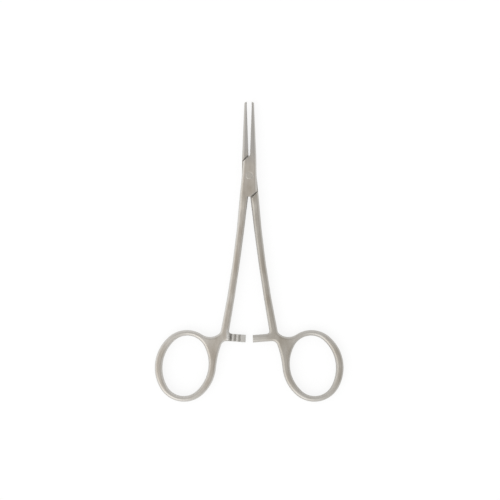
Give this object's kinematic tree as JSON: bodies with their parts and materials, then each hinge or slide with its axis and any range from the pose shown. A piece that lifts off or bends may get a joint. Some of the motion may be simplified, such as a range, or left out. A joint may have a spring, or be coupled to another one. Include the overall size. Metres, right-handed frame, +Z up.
{
  "type": "hemostat forceps",
  "caption": "Straight ring-handled artery forceps with a box lock, slim grooved jaws, a ratchet between the shanks and oval finger rings, in satin steel.",
  "frame": {"origin": "pivot axis, at the level of the surface that the forceps lies on", "axes": "+Y from the pivot to the jaw tips, +X to the right of the ring side seen from above, +Z up along the pivot axis, out of the upper cheek of the box lock"},
  "size_m": [0.0788, 0.1252, 0.0044],
  "materials": {
    "satin_steel": "satin",
    "pin_steel": "satin"
  },
  "bodies": {
    "box_body": {"box_half": "satin_steel", "pivot_pin": "pin_steel"},
    "male_body": {"male_half": "satin_steel"}
  },
  "joints": [
    {"name": "pivot", "type": "hinge", "parent": "box_body", "child": "male_body", "pos_m": [0, 0, 0], "axis": [0, 0, 1], "range_deg": [-3.8, 60]}
  ]
}
